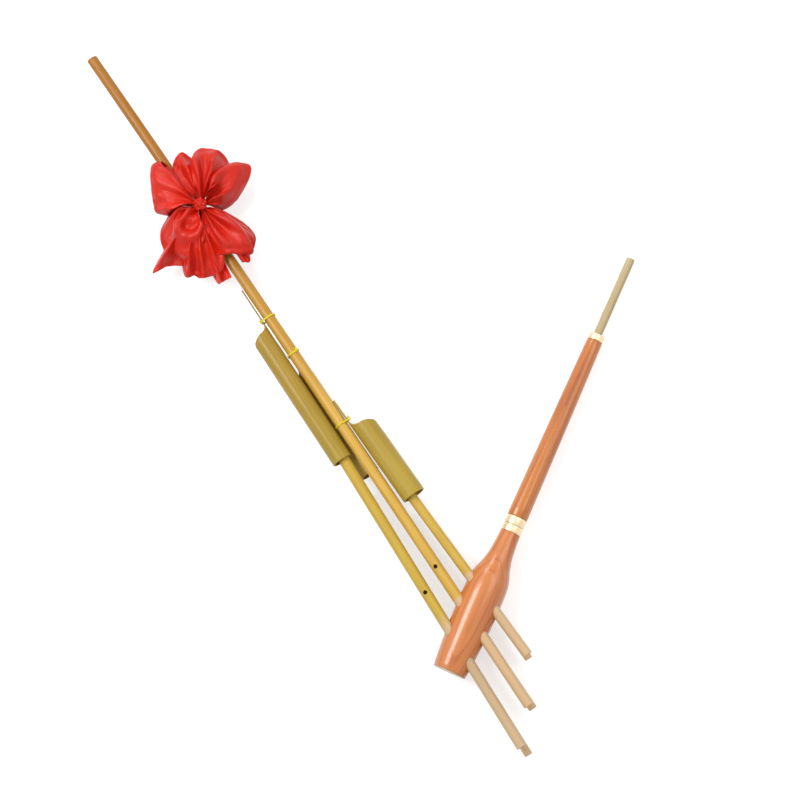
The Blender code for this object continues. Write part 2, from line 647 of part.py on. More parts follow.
def tip_onto_floor(rear_depth, mouth_end):
    # the plane that touches three balls: the chamber's belly, the rear resonator, the mouth end
    widest = max(CHAMBER_PROFILE, key=lambda spot: spot[1])
    balls = [
        (wind_direction * widest[0], widest[1]),
        (Vector((REAR_RESONATOR["x"], REAR_RESONATOR["far"], rear_depth)), REAR_RESONATOR["radius"]),
        (wind_direction * (mouth_end - MOUTH_RADIUS), MOUTH_RADIUS),
    ]
    base, radius = balls[0]
    sides = [centre - base for centre, r in balls[1:]]
    drops = [radius - r for centre, r in balls[1:]]
    grid = np.array([[sides[0].dot(sides[0]), sides[0].dot(sides[1])], [sides[0].dot(sides[1]), sides[1].dot(sides[1])]])
    share = np.linalg.solve(grid, np.array(drops))
    level = sides[0] * share[0] + sides[1] * share[1]
    upright = sides[0].cross(sides[1]).normalized()
    if upright.z > 0:
        upright.negate()
    down = level + upright * math.sqrt(1 - level.length_squared)
    stand.rotation_mode = "QUATERNION"
    stand.rotation_quaternion = down.rotation_difference(Vector((0, 0, -1)))


def centre_on_floor():
    # the origin is under the middle of the object's box, on the floor
    bpy.context.view_layer.update()
    graph = bpy.context.evaluated_depsgraph_get()
    low = np.full(3, np.inf)
    high = np.full(3, -np.inf)
    for item in bpy.data.objects:
        if item.type == "EMPTY" or item.hide_render:
            continue
        shown = item.evaluated_get(graph)
        data = shown.to_mesh()
        spots = np.empty(len(data.vertices) * 3)
        data.vertices.foreach_get("co", spots)
        turn = np.array(shown.matrix_world)
        spots = spots.reshape(-1, 3) @ turn[:3, :3].T + turn[:3, 3]
        low = np.minimum(low, spots.min(axis=0))
        high = np.maximum(high, spots.max(axis=0))
        shown.to_mesh_clear()
    stand.location = (-(low[0] + high[0]) / 2, -(low[1] + high[1]) / 2, -low[2])
    bpy.context.view_layer.update()


shells = build_chamber()
mouth_end = build_blow_pipe()
for name, spec in PIPES.items():
    build_pipe(name, spec, shells[spec["row"]])
rear_depth = build_resonators_and_ties()
build_bow()
tip_onto_floor(rear_depth, mouth_end)
centre_on_floor()
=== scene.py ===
import json
from math import atan2, cos, dist, exp, hypot, pi, radians, remainder, sin, sqrt, tan

import bmesh
import bpy
import numpy as np
from mathutils import Matrix, Vector, noise


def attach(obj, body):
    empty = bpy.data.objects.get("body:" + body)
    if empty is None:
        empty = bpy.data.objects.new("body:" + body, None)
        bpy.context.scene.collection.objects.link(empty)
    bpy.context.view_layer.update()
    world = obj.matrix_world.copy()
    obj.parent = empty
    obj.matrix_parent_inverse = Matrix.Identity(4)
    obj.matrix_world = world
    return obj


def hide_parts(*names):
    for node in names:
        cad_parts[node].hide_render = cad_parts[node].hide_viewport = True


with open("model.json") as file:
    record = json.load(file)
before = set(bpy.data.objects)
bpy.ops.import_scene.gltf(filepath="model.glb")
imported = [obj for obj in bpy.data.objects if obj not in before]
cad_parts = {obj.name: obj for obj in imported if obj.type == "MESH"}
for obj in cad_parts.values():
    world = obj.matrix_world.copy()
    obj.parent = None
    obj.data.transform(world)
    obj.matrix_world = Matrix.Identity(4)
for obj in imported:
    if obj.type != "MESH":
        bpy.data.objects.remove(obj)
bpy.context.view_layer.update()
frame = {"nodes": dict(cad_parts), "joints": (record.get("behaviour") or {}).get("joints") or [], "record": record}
print("stage: frame loaded")

# The flat frame of the instrument: X right, Y up the long pipe, Z out of the front row of pipes.
# It comes from the blow pipe's slide, a reed's hinge and the tail's flat face. Sizes are in metres.
shape = {"windAngle": radians(32.1), "tailFace": -0.0712, "row": 0.010, "longBend": 0.0103}
joints = {joint["name"]: joint for joint in frame["joints"]}
windDirection = Vector(joints["blow_pipe_slide"]["axis"]).normalized()
frontDirection = -Vector(joints["long_pipe_front_reed_swing"]["axis"]).normalized()
crossDirection = frontDirection.cross(windDirection).normalized()
windCos, windSin = cos(shape["windAngle"]), sin(shape["windAngle"])
flatX = windDirection * windCos - crossDirection * windSin
flatY = windDirection * windSin + crossDirection * windCos
tailMount = next(m for m in frame["record"]["mounts"] if m["name"] == "tail_face")
flatOrigin = Vector(tailMount["pos_m"]) - windDirection * shape["tailFace"]
flat = Matrix.Translation(flatOrigin) @ Matrix((flatX, flatY, frontDirection)).transposed().to_4x4()
alongWind = (windCos, windSin, 0)

# The camera is above the instrument, a little towards its feet. pipeOnImage is the way the long pipe
# runs on the picture.
camera = {
    "place": (-0.040, -0.240, 2.600), "lookAt": (0.0781, 0.2773, 0.0), "pipeOnImage": (-0.565, 0.825),
    "lens": 95.413, "sensor": 36.0, "clipEnd": 20.0,
}


def newObject(name, data):
    made = bpy.data.objects.new(name, data)
    bpy.context.scene.collection.objects.link(made)
    return made


def placeCamera():
    data = bpy.data.cameras.new("camera")
    data.sensor_width = camera["sensor"]
    data.lens = camera["lens"]
    data.clip_end = camera["clipEnd"]
    made = newObject("camera", data)
    place = flat @ Vector(camera["place"])
    target = flat @ Vector(camera["lookAt"])
    back = (place - target).normalized()
    pipe = flatY - back * flatY.dot(back)
    pipe.normalize()
    aside = pipe.cross(back)
    length = hypot(*camera["pipeOnImage"])
    across, up = camera["pipeOnImage"][0] / length, camera["pipeOnImage"][1] / length
    imageY = pipe * up - aside * across
    imageX = imageY.cross(back)
    turn = Matrix((imageX, imageY, back)).transposed().to_4x4()
    made.matrix_world = Matrix.Translation(place) @ turn
    bpy.context.scene.camera = made


# Shaders. Each piece carries its own points' places as the attribute "place", with Z along it.
def newMaterial(name):
    made = bpy.data.materials.new(name)
    made.use_nodes = True
    return made, made.node_tree.nodes, made.node_tree.links, made.node_tree.nodes["Principled BSDF"]


def addNode(tree, kind, **values):
    made = tree.new(kind)
    for key, value in values.items():
        setattr(made, key, value)
    return made


def setInputs(node, values):
    for key, value in values.items():
        node.inputs[key].default_value = value


def grainGroup():
    # streaks along a piece's own length, and soft blotches
    look = {"streaks": {"Detail": 6.0, "Roughness": 0.6}, "blotches": {"Scale": 18.0, "Detail": 3.0}}
    group = bpy.data.node_groups.new("grain", "ShaderNodeTree")
    face = group.interface
    face.new_socket(name="Stretch", in_out="INPUT", socket_type="NodeSocketVector")
    face.new_socket(name="Scale", in_out="INPUT", socket_type="NodeSocketFloat")
    face.new_socket(name="Streaks", in_out="OUTPUT", socket_type="NodeSocketFloat")
    face.new_socket(name="Blotches", in_out="OUTPUT", socket_type="NodeSocketFloat")
    tree, links = group.nodes, group.links
    inlet = tree.new("NodeGroupInput")
    outlet = tree.new("NodeGroupOutput")
    place = addNode(tree, "ShaderNodeAttribute", attribute_name="place")
    spread = addNode(tree, "ShaderNodeVectorMath", operation="MULTIPLY")
    links.new(place.outputs["Vector"], spread.inputs[0])
    links.new(inlet.outputs["Stretch"], spread.inputs[1])
    streaks = addNode(tree, "ShaderNodeTexNoise")
    setInputs(streaks, look["streaks"])
    links.new(spread.outputs[0], streaks.inputs["Vector"])
    links.new(inlet.outputs["Scale"], streaks.inputs["Scale"])
    blotches = addNode(tree, "ShaderNodeTexNoise")
    setInputs(blotches, look["blotches"])
    links.new(place.outputs["Vector"], blotches.inputs["Vector"])
    links.new(streaks.outputs["Fac"], outlet.inputs["Streaks"])
    links.new(blotches.outputs["Fac"], outlet.inputs["Blotches"])
    return group


def ramp(tree, links, source, places, colors):
    made = tree.new("ShaderNodeValToRGB")
    elements = made.color_ramp.elements
    while len(elements) < len(places):
        elements.new(0.5)
    for element, place, color in zip(elements, places, colors):
        element.position = place
        element.color = (*color, 1.0)
    links.new(source, made.inputs["Fac"])
    return made.outputs["Color"]


def mixColor(tree, links, amount, first, second, mode="MIX"):
    made = addNode(tree, "ShaderNodeMix", data_type="RGBA", blend_type=mode)
    if isinstance(amount, float):
        made.inputs["Factor"].default_value = amount
    else:
        links.new(amount, made.inputs["Factor"])
    # inputs 6 and 7 and output 2 are the node's colours
    for value, socket in ((first, made.inputs[6]), (second, made.inputs[7])):
        if isinstance(value, tuple):
            socket.default_value = (*value, 1.0)
        else:
            links.new(value, socket)
    return made.outputs[2]


def alongSpan(tree, links, low, high):
    # 0 at one height along the piece and 1 at another
    place = addNode(tree, "ShaderNodeAttribute", attribute_name="place")
    parts = tree.new("ShaderNodeSeparateXYZ")
    links.new(place.outputs["Vector"], parts.inputs[0])
    span = tree.new("ShaderNodeMapRange")
    setInputs(span, {"From Min": low, "From Max": high})
    links.new(parts.outputs["Z"], span.inputs["Value"])
    return span.outputs["Result"]


def addGrain(tree, stretch, scale):
    made = tree.new("ShaderNodeGroup")
    made.node_tree = grain
    setInputs(made, {"Stretch": stretch, "Scale": scale})
    return made


def addBump(tree, links, shader, height, strength, distance):
    bump = tree.new("ShaderNodeBump")
    setInputs(bump, {"Strength": strength, "Distance": distance})
    links.new(height, bump.inputs["Height"])
    links.new(bump.outputs["Normal"], shader.inputs["Normal"])


unmarked = (1.0, 1.0, 1.0)

bambooLook = {
    "stretch": (1.0, 1.0, 0.03), "scale": 420.0, "streakAt": (0.36, 0.60), "streakShare": 0.55,
    "cloud": (0.86, 0.84, 0.75), "cloudAt": (0.3, 0.7), "cloudShare": 0.6, "scrapedShade": 0.86,
    "roughness": {"To Min": 0.24, "To Max": 0.42}, "shader": {"Specular IOR Level": 0.35},
    "bump": (0.12, 0.0004),
}


def bambooMaterial(name, low, high, span, streak, scraped=None, scrapedTop=0.0, scrapedFade=0.0):
    # the skin's colour from low to high over a span of the pipe, dark streaks, and a scraped foot
    made, tree, links, shader = newMaterial(name)
    fibre = addGrain(tree, bambooLook["stretch"], bambooLook["scale"])
    streaks, blotches = fibre.outputs["Streaks"], fibre.outputs["Blotches"]
    skin = mixColor(tree, links, alongSpan(tree, links, *span), low, high)
    dark = ramp(tree, links, streaks, bambooLook["streakAt"], (streak, unmarked))
    skin = mixColor(tree, links, bambooLook["streakShare"], skin, dark, "MULTIPLY")
    cloud = ramp(tree, links, blotches, bambooLook["cloudAt"], (bambooLook["cloud"], unmarked))
    skin = mixColor(tree, links, bambooLook["cloudShare"], skin, cloud, "MULTIPLY")
    if scraped:
        shade = tuple(bambooLook["scrapedShade"] * c for c in scraped)
        bare = ramp(tree, links, streaks, bambooLook["cloudAt"], (shade, scraped))
        above = alongSpan(tree, links, scrapedTop, scrapedTop + scrapedFade)
        skin = mixColor(tree, links, above, bare, skin)
    links.new(skin, shader.inputs["Base Color"])
    rough = tree.new("ShaderNodeMapRange")
    setInputs(rough, bambooLook["roughness"])
    links.new(streaks, rough.inputs["Value"])
    links.new(rough.outputs["Result"], shader.inputs["Roughness"])
    setInputs(shader, bambooLook["shader"])
    addBump(tree, links, shader, streaks, *bambooLook["bump"])
    return made


lacquerLook = {
    "stretch": (1.0, 0.45, 0.05), "toneAt": (0.30, 0.52, 0.75), "ringSqueeze": (1.0, 0.6, 0.10),
    "rings": {"Scale": 55.0, "Distortion": 2.4, "Detail": 3.0, "Detail Scale": 0.6},
    "ringAt": (0.0, 0.72, 1.0), "ringShare": 0.55, "cloud": (0.84, 0.78, 0.74), "cloudAt": (0.3, 0.7),
    "cloudShare": 0.6, "shader": {"Roughness": 0.34, "Coat Weight": 0.55, "Coat Roughness": 0.12},
    "bump": (0.05, 0.0003),
}


def lacquerMaterial(name, pale, deep, line, scale):
    # wood under lacquer: fine fibre, and the growth rings as dark lines along the piece
    made, tree, links, shader = newMaterial(name)
    fibre = addGrain(tree, lacquerLook["stretch"], scale)
    streaks, blotches = fibre.outputs["Streaks"], fibre.outputs["Blotches"]
    base = ramp(tree, links, streaks, lacquerLook["toneAt"], (deep, pale, pale))
    rings = addNode(tree, "ShaderNodeTexWave", wave_type="BANDS", bands_direction="X", wave_profile="SAW")
    place = addNode(tree, "ShaderNodeAttribute", attribute_name="place")
    squeeze = addNode(tree, "ShaderNodeVectorMath", operation="MULTIPLY")
    squeeze.inputs[1].default_value = lacquerLook["ringSqueeze"]
    links.new(place.outputs["Vector"], squeeze.inputs[0])
    links.new(squeeze.outputs[0], rings.inputs["Vector"])
    setInputs(rings, lacquerLook["rings"])
    lines = ramp(tree, links, rings.outputs["Fac"], lacquerLook["ringAt"], (unmarked, unmarked, line))
    skin = mixColor(tree, links, lacquerLook["ringShare"], base, lines, "MULTIPLY")
    cloud = ramp(tree, links, blotches, lacquerLook["cloudAt"], (lacquerLook["cloud"], unmarked))
    skin = mixColor(tree, links, lacquerLook["cloudShare"], skin, cloud, "MULTIPLY")
    links.new(skin, shader.inputs["Base Color"])
    setInputs(shader, lacquerLook["shader"])
    addBump(tree, links, shader, streaks, *lacquerLook["bump"])
    return made


metalLook = {
    "stretch": (0.05, 0.05, 1.0), "scale": 900.0, "toneAt": (0.3, 0.7), "metallic": 0.85,
    "bump": (0.1, 0.0002),
}


def metalMaterial(name, pale, deep, roughness):
    made, tree, links, shader = newMaterial(name)
    turning = addGrain(tree, metalLook["stretch"], metalLook["scale"])
    tone = ramp(tree, links, turning.outputs["Streaks"], metalLook["toneAt"], (deep, pale))
    links.new(tone, shader.inputs["Base Color"])
    setInputs(shader, {"Metallic": metalLook["metallic"], "Roughness": roughness})
    addBump(tree, links, shader, turning.outputs["Streaks"], *metalLook["bump"])
    return made


satinLook = {
    "stretch": (1.0, 1.0, 1.0), "scale": 2600.0, "toneAt": (0.25, 0.75),
    "shader": {"Roughness": 0.40, "Specular IOR Level": 0.30}, "bump": (0.08, 0.0002),
}


def satinMaterial(name, pale, deep):
    made, tree, links, shader = newMaterial(name)
    weave = addGrain(tree, satinLook["stretch"], satinLook["scale"])
    tone = ramp(tree, links, weave.outputs["Blotches"], satinLook["toneAt"], (deep, pale))
    links.new(tone, shader.inputs["Base Color"])
    setInputs(shader, satinLook["shader"])
    addBump(tree, links, shader, weave.outputs["Streaks"], *satinLook["bump"])
    return made


stringLook = {"scale": 900.0, "toneAt": (0.1, 0.6), "roughness": 0.6, "bump": (0.3, 0.0003)}


def stringMaterial(name, pale, deep):
    made, tree, links, shader = newMaterial(name)
    strands = addNode(tree, "ShaderNodeTexWave", wave_type="BANDS", bands_direction="DIAGONAL")
    place = addNode(tree, "ShaderNodeTexCoord")
    links.new(place.outputs["Object"], strands.inputs["Vector"])
    strands.inputs["Scale"].default_value = stringLook["scale"]
    tone = ramp(tree, links, strands.outputs["Fac"], stringLook["toneAt"], (deep, pale))
    links.new(tone, shader.inputs["Base Color"])
    shader.inputs["Roughness"].default_value = stringLook["roughness"]
    addBump(tree, links, shader, strands.outputs["Fac"], *stringLook["bump"])
    return made


def turned(profile, sides, angle=2 * pi, start=0.0):
    # spins a closed outline of (radius, height) about Z
    bm = bmesh.new()
    spots = [bm.verts.new((r * cos(start), r * sin(start), z)) for r, z in profile]
    pairs = zip(spots, spots[1:] + spots[:1])
    edges = [bm.edges.new((a, b)) for a, b in pairs if a.co.xy.length + b.co.xy.length > 0]
    whole = abs(angle - 2 * pi) < 1e-6
    bmesh.ops.spin(bm, geom=spots + edges, cent=(0, 0, 0), axis=(0, 0, 1), angle=angle, steps=sides,
                   use_merge=whole)
    bmesh.ops.remove_doubles(bm, verts=bm.verts, dist=1e-6)
    return bm


def prism(outline, low, high, across):
    # an outline of (sideways, height) pulled from low to high along X or Y
    bm = bmesh.new()
    points = [(a, low, z) if across == "Y" else (low, a, z) for a, z in outline]
    cap = bm.faces.new([bm.verts.new(point) for point in points])
    grown = bmesh.ops.extrude_face_region(bm, geom=[cap])
    moved = [item for item in grown["geom"] if isinstance(item, bmesh.types.BMVert)]
    step = (0, high - low, 0) if across == "Y" else (high - low, 0, 0)
    bmesh.ops.translate(bm, vec=step, verts=moved)
    bmesh.ops.recalc_face_normals(bm, faces=bm.faces)
    return bm


def meshObject(name, bm):
    data = bpy.data.meshes.new(name)
    bm.to_mesh(data)
    bm.free()
    return newObject(name, data)


def carve(obj, bm):
    # cuts a hidden shape out of a piece and leaves plain mesh
    cutter = meshObject("cutter", bm)
    cut = obj.modifiers.new("cut", "BOOLEAN")
    cut.object = cutter
    cut.operation = "DIFFERENCE"
    bpy.context.view_layer.update()
    graph = bpy.context.evaluated_depsgraph_get()
    carved = bpy.data.meshes.new_from_object(obj.evaluated_get(graph))
    obj.modifiers.clear()
    obj.data = carved
    bpy.data.objects.remove(cutter, do_unlink=True)


def rawObject(name, bm):
    bmesh.ops.recalc_face_normals(bm, faces=bm.faces)
    return meshObject(name, bm)


def settle(obj, local, paint, body, node, sharp=35):
    # keeps each point's place along the piece for the grain, then moves the mesh into the world
    data = obj.data
    spots = np.empty(len(data.vertices) * 3, np.float32)
    data.vertices.foreach_get("co", spots)
    place = data.attributes.new("place", "FLOAT_VECTOR", "POINT")
    place.data.foreach_set("vector", spots)
    data.transform(local)
    data.shade_smooth()
    data.set_sharp_from_angle(angle=radians(sharp))
    data.materials.clear()
    data.materials.append(paint)
    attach(obj, body)
    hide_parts(node)


def axisMatrix(place, along, side):
    # from a piece's own frame, Z along it and X to one side, into the world
    z = Vector(along).normalized()
    y = z.cross(Vector(side)).normalized()
    turn = Matrix((y.cross(z), y, z)).transposed().to_4x4()
    return flat @ Matrix.Translation(place) @ turn


def fairCurve(points, count):
    # a smooth curve through (station, value), as count + 1 pairs of (value, station)
    stations = np.array([p[0] for p in points])
    values = np.array([p[1] for p in points])
    slopes = np.gradient(values, stations)
    fine = []
    for k in range(count + 1):
        s = stations[0] + (stations[-1] - stations[0]) * k / count
        i = min(max(int(np.searchsorted(stations, s)) - 1, 0), len(stations) - 2)
        width = stations[i + 1] - stations[i]
        t = (s - stations[i]) / width
        value = (2 * t**3 - 3 * t**2 + 1) * values[i] + (t**3 - 2 * t**2 + t) * width * slopes[i]
        value += (-2 * t**3 + 3 * t**2) * values[i + 1] + (t**3 - t**2) * width * slopes[i + 1]
        fine.append((float(value), float(s)))
    return fine


# The pipes. x is where a pipe's axis crosses the chamber's, row its side of the chamber, hole and
# turn the finger hole's height and direction in degrees.
pipes = {
    "tail_pipe_front": dict(
        x=-0.0315, lean=0.0385, row=1, low=0.0069, high=0.0073, foot=0.00655, end=-0.1620, top=0.2850,
        bore=0.0047, hole=0.0577, turn=-7.5),
    "long_pipe_front": dict(
        x=-0.00126, lean=0.00775, row=1, low=0.00715, high=0.00715, foot=0.0066, end=-0.1260, top=0.8780,
        bore=0.0050, hole=0.0769, turn=-12.0),
    "neck_pipe_front": dict(
        x=0.0281, lean=-0.0363, row=1, low=0.00635, high=0.00635, foot=0.00615, end=-0.0747, top=0.1950,
        bore=0.0042, hole=0.0980, turn=115.0),
    "tail_pipe_rear": dict(
        x=-0.0308, lean=0.0298, row=-1, low=0.00575, high=0.00575, foot=0.00525, end=-0.1740, top=0.2080,
        bore=0.0037, hole=0.0620, turn=180.0),
    "middle_pipe_rear": dict(
        x=-0.0003, lean=0.0, row=-1, low=0.00575, high=0.00575, foot=0.0055, end=-0.1310, top=0.2700,
        bore=0.0037, hole=0.0800, turn=180.0),
    "neck_pipe_rear": dict(
        x=0.0274, lean=-0.0310, row=-1, low=0.00525, high=0.00525, foot=0.0050, end=-0.0780, top=0.1500,
        bore=0.0034, hole=0.1000, turn=180.0),
}
pipeShape = {
    "sides": 40, "edge": 0.0005, "footTop": -0.010, "skinLow": -0.0095, "ring": 0.012, "fewestRings": 6,
    "wander": 0.00010, "wanderLength": 14.0, "wanderSeed": 900, "septum": (-0.034, -0.037),
    "fingerHole": 0.0027, "fingerHoleSides": 32,
}
reedSeat = {"skin": 0.001, "halfPlate": 0.0128, "halfWidth": 0.00205, "halfWindow": 0.0098, "clear": 0.02}


def crossing(spec):
    # where a pipe's axis crosses the chamber's
    slope = tan(shape["windAngle"])
    across = spec["x"] / (1 - spec["lean"] * slope)
    return across, across * slope


def pipeBend(name):
    return shape["longBend"] if name.startswith("long") else 0.0


def pipeMatrix(spec):
    across, up = crossing(spec)
    along = Vector((spec["lean"], 1, 0)).normalized()
    return axisMatrix((across, up, spec["row"] * shape["row"]), along, (1, 0, 0))


def pipeAxis(name, height):
    spec = pipes[name]
    across, up = crossing(spec)
    return across + spec["lean"] * (height - up) - pipeBend(name) * (height - up) ** 2


def pipeProfile(spec, low, high):
    edge, foot, bore = pipeShape["edge"], spec["foot"], spec["bore"]
    skinLow = pipeShape["skinLow"]
    septumTop, septumLow = pipeShape["septum"]
    rings = max(pipeShape["fewestRings"], int((high - pipeShape["footTop"]) / pipeShape["ring"]))
    profile = [(foot - edge, low), (foot, low + edge), (foot, pipeShape["footTop"])]
    for k in range(rings + 1):
        z = skinLow + (high - edge - skinLow) * k / rings
        spot = Vector((spec["x"] * pipeShape["wanderSeed"], 0.0, z * pipeShape["wanderLength"]))
        wander = pipeShape["wander"] * noise.noise(spot)
        profile.append((spec["low"] + (spec["high"] - spec["low"]) * k / rings + wander, z))
    profile += [(spec["high"] - edge, high), (bore + edge, high), (bore, high - edge)]
    profile += [(bore, septumTop), (0, septumTop), (0, septumLow), (bore, septumLow)]
    return profile + [(bore, low + edge), (bore + edge, low)]


def buildPipe(name, spec):
    up = crossing(spec)[1]
    bend = pipeBend(name)
    rise = hypot(1, spec["lean"])
    low, high = (spec["end"] - up) * rise, (spec["top"] - up) * rise
    bm = turned(pipeProfile(spec, low, high), pipeShape["sides"])
    for vert in bm.verts:
        vert.co.x -= bend * vert.co.z ** 2
    pipe = rawObject(name + "Skin", bm)
    # finger hole
    height = (spec["hole"] - up) * rise
    radius = pipeShape["fingerHole"]
    bm = bmesh.new()
    bmesh.ops.create_cone(bm, cap_ends=True, segments=pipeShape["fingerHoleSides"], radius1=radius,
                          radius2=radius, depth=2 * spec["low"])
    outwards = Matrix.Rotation(radians(spec["turn"]), 4, "Z") @ Matrix.Rotation(pi / 2, 4, "X")
    reach = Matrix.Translation((0, 0, spec["low"]))
    place = Matrix.Translation((-bend * height**2, 0, height)) @ outwards @ reach
    bmesh.ops.transform(bm, matrix=place, verts=bm.verts)
    carve(pipe, bm)
    # flat and window for the reed, hidden in the chamber
    flatSide = spec["bore"] + reedSeat["skin"]
    centre = flatSide * tan(shape["windAngle"])
    clear = reedSeat["clear"]
    seat = (flatSide, clear, reedSeat["halfPlate"])
    window = (0, reedSeat["halfWidth"], reedSeat["halfWindow"])
    for inner, halfWidth, halfLength in (seat, window):
        bm = bmesh.new()
        bmesh.ops.create_cube(bm, size=1.0)
        size = Matrix.Diagonal((clear, 2 * halfWidth, 2 * halfLength, 1))
        box = Matrix.Translation((inner + clear / 2, 0, centre)) @ size
        bmesh.ops.transform(bm, matrix=box, verts=bm.verts)
        carve(pipe, bm)
    paint = {"long": "longBamboo", "tail": "tailBamboo"}.get(name[:4], "bamboo")
    settle(pipe, pipeMatrix(spec), paints[paint], "frame", name, sharp=40)


# The wind chest, carved as two halves. Stations are (distance along the wind axis, radius).
chamber = {
    "stations": [(-0.0697, 0.0212), (-0.0500, 0.0229), (-0.0250, 0.0245), (0.0, 0.0256), (0.0250, 0.0258),
                 (0.0400, 0.0255), (0.0500, 0.0248), (0.0600, 0.0228), (0.0700, 0.0191), (0.0800, 0.0164),
                 (0.0900, 0.0147), (0.1000, 0.0137), (0.1156, 0.0127)],
    "tailEdge": 0.0005, "wall": 0.004, "cavityEnd": 0.050, "cavityTaper": 0.02, "neckBore": 0.0084,
    "seam": 0.00012, "sides": 64, "rings": 60, "socketGap": 0.0003, "socketStep": -0.0103,
    "socketReach": 0.065, "socketSides": 40,
    "halves": (("chamberFront", "chamber_front_shell", 1), ("chamberRear", "chamber_rear_shell", -1)),
}


def cutSocket(shell, local, spec):
    # the hole that a pipe goes through, wider above than at the foot
    step, reach = chamber["socketStep"], chamber["socketReach"]
    foot, low = spec["foot"] + chamber["socketGap"], spec["low"] + chamber["socketGap"]
    outline = [(0, -reach), (foot, -reach), (foot, step), (low, step), (low, reach), (0, reach)]
    bm = turned(outline, chamber["socketSides"])
    bmesh.ops.transform(bm, matrix=local.inverted() @ pipeMatrix(spec), verts=bm.verts)
    bmesh.ops.recalc_face_normals(bm, faces=bm.faces)
    carve(shell, bm)


def buildChamber():
    bore, cavityEnd = chamber["neckBore"], chamber["cavityEnd"]
    outside = fairCurve(chamber["stations"], chamber["rings"])
    outside[0] = (outside[0][0] - chamber["tailEdge"], outside[0][1])
    inside = [(r - chamber["wall"], s) for r, s in outside if s < cavityEnd]
    neck = [(bore, chamber["stations"][-1][0]), (bore, cavityEnd + chamber["cavityTaper"])]
    profile = outside + neck + list(reversed(inside))
    local = axisMatrix((0, 0, 0), alongWind, (0, 0, 1))
    for name, node, side in chamber["halves"]:
        bm = turned(profile, chamber["sides"], pi, -side * pi / 2)
        bmesh.ops.translate(bm, vec=(side * chamber["seam"], 0, 0), verts=bm.verts)
        bmesh.ops.holes_fill(bm, edges=[edge for edge in bm.edges if edge.is_boundary])
        shell = rawObject(name, bm)
        for spec in pipes.values():
            if spec["row"] == side:
                cutSocket(shell, local, spec)
        settle(shell, local, paints["lacquer"], "frame", node, sharp=50)


# The blow pipe, its metal rings and the mouthpiece. Heights are from the joint at the neck.
blowPipe = {
    "start": 0.1255, "tenon": 0.045, "tenonRadius": 0.0082, "bore": 0.0045, "ringSeat": 0.0111,
    "ferrule": 0.0108, "low": 0.01305, "middle": 0.01181, "tip": 0.0100, "middleShare": 0.48,
    "length": 0.2530, "tipSeat": 0.0082, "tipFerrule": 0.0083, "mouthBore": 0.0056, "mouthDepth": 0.03,
    "edge": 0.0009, "edgeShare": 0.3, "rings": 24, "sides": 72, "gap": 0.0003,
}
blowPipeEnd = blowPipe["length"] + blowPipe["tipFerrule"]
ferrules = {
    "neckFerrule": dict(node="neck_ferrule", body="frame", low=0.1159 - blowPipe["start"],
                        high=-blowPipe["gap"], outer=0.0126, inner=0.0113),
    "blowFerrule": dict(node="blow_pipe_ferrule", body="blow_pipe_body", low=0.0,
                        high=blowPipe["ferrule"] - blowPipe["gap"], outer=0.0126, inner=0.0113),
    "tipFerrule": dict(node="tip_ferrule", body="blow_pipe_body", low=blowPipe["length"] + blowPipe["gap"],
                       high=blowPipeEnd + blowPipe["gap"], outer=0.0097, inner=0.0084),
}
ferruleEdge = {"width": 0.0005, "round": 0.00015}
mouthpiece = {
    "radius": 0.00537, "bore": 0.0034, "length": 0.1365, "waver": 0.0001, "rings": 12, "lipSteps": 8,
    "sides": 48,
}


def buildBlowPipe():
    edge, part = blowPipe["edge"], blowPipe["edgeShare"] * blowPipe["edge"]
    bore, tenon, tenonRadius = blowPipe["bore"], blowPipe["tenon"], blowPipe["tenonRadius"]
    low, high, end = blowPipe["ferrule"], blowPipe["length"], blowPipeEnd
    mouthBore, mouthLow = blowPipe["mouthBore"], end - blowPipe["mouthDepth"]
    middle = low + blowPipe["middleShare"] * (high - low)
    stations = [(low + edge, blowPipe["low"]), (middle, blowPipe["middle"]), (high - edge, blowPipe["tip"])]
    seat, tipSeat, foot, tip = (blowPipe[key] for key in ("ringSeat", "tipSeat", "low", "tip"))
    profile = [(bore, -tenon), (tenonRadius, -tenon), (tenonRadius, 0), (seat, 0), (seat, low)]
    profile += [(foot - edge, low), (foot - part, low + part), *fairCurve(stations, blowPipe["rings"])]
    profile += [(tip - part, high - part), (tip - edge, high), (tipSeat, high), (tipSeat, end)]
    profile += [(mouthBore, end), (mouthBore, mouthLow), (bore, mouthLow)]
    local = axisMatrix(Vector(alongWind) * blowPipe["start"], alongWind, (0, 0, 1))
    wood = rawObject("blowPipe", turned(profile, blowPipe["sides"]))
    settle(wood, local, paints["blowLacquer"], "blow_pipe_body", "blow_pipe", sharp=50)
    width, rounding = ferruleEdge["width"], ferruleEdge["round"]
    for name, spec in ferrules.items():
        low, high, outer, inner = spec["low"], spec["high"], spec["outer"], spec["inner"]
        profile = [(inner, low), (outer - width, low), (outer - rounding, low + rounding)]
        profile += [(outer, low + width), (outer, high - width), (outer - rounding, high - rounding)]
        profile += [(outer - width, high), (inner, high)]
        ring = rawObject(name, turned(profile, blowPipe["sides"]))
        settle(ring, local, paints["ferrule"], spec["body"], spec["node"])


